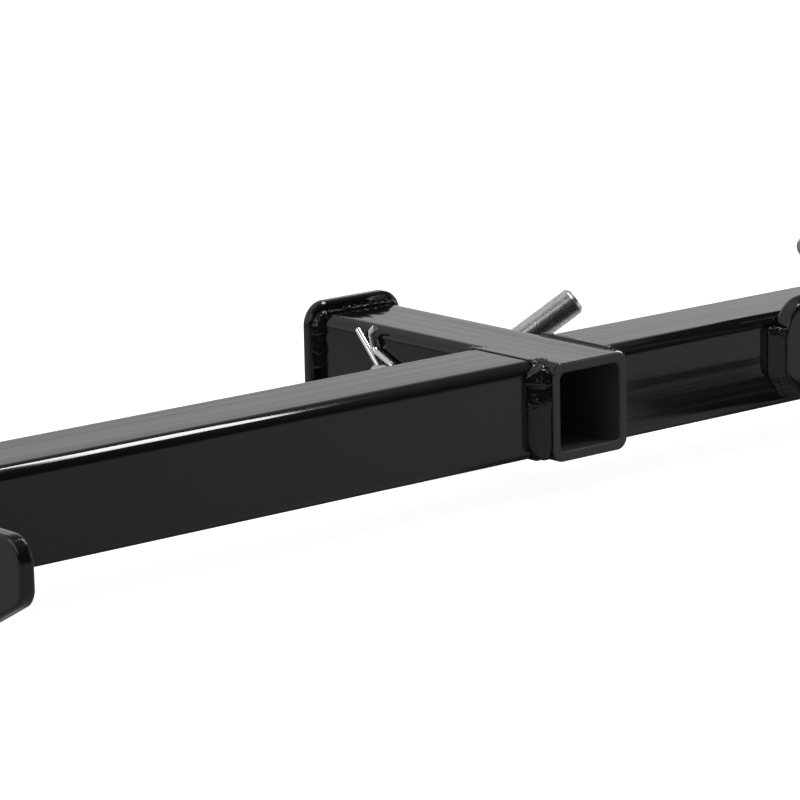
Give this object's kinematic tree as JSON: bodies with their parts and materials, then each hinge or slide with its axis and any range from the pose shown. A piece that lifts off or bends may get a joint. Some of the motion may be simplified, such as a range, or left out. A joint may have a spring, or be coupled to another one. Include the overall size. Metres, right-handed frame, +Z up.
{
  "type": "trailer hitch receiver",
  "caption": "Welded square-tube crossbar with a collared receiver tube, end plates for the vehicle frame, a hanger lug, and a bent hitch pin held by a hairpin clip.",
  "frame": {"origin": "centre of the receiver socket's mouth, in the plane of the collar's outer face", "axes": "+Y out of the mouth along the socket, +X along the crossbar to the right seen from the vehicle, +Z up"},
  "size_m": [1.051, 0.3684, 0.141],
  "materials": {
    "black_powder_coat": "gloss black powder coat",
    "pin_zinc": "bright zinc plate, slightly mottled",
    "clip_wire": "bright plated spring wire",
    "rod_plate": "bright zinc plate"
  },
  "bodies": {
    "hitch": {"receiver_tube": "black_powder_coat", "mouth_collar": "black_powder_coat", "mouth_collar_weld": "black_powder_coat", "mouth_collar_lower_weld": "black_powder_coat", "crossbar_left_tube": "black_powder_coat", "crossbar_left_weld": "black_powder_coat", "crossbar_right_tube": "black_powder_coat", "crossbar_right_weld": "black_powder_coat", "left_end_plate": "black_powder_coat", "left_end_plate_weld": "black_powder_coat", "right_end_plate": "black_powder_coat", "right_end_plate_weld": "black_powder_coat", "hanger_lug": "black_powder_coat", "hanger_lug_weld": "black_powder_coat", "hanger_rod": "rod_plate"},
    "pin": {"hitch_pin": "pin_zinc", "hairpin_clip": "clip_wire"}
  },
  "joints": [
    {"name": "pin_turn", "type": "hinge", "parent": "hitch", "child": "pin", "pos_m": [0, -0.0813, 0], "axis": [1, 0, 0], "continuous": true}
  ]
}
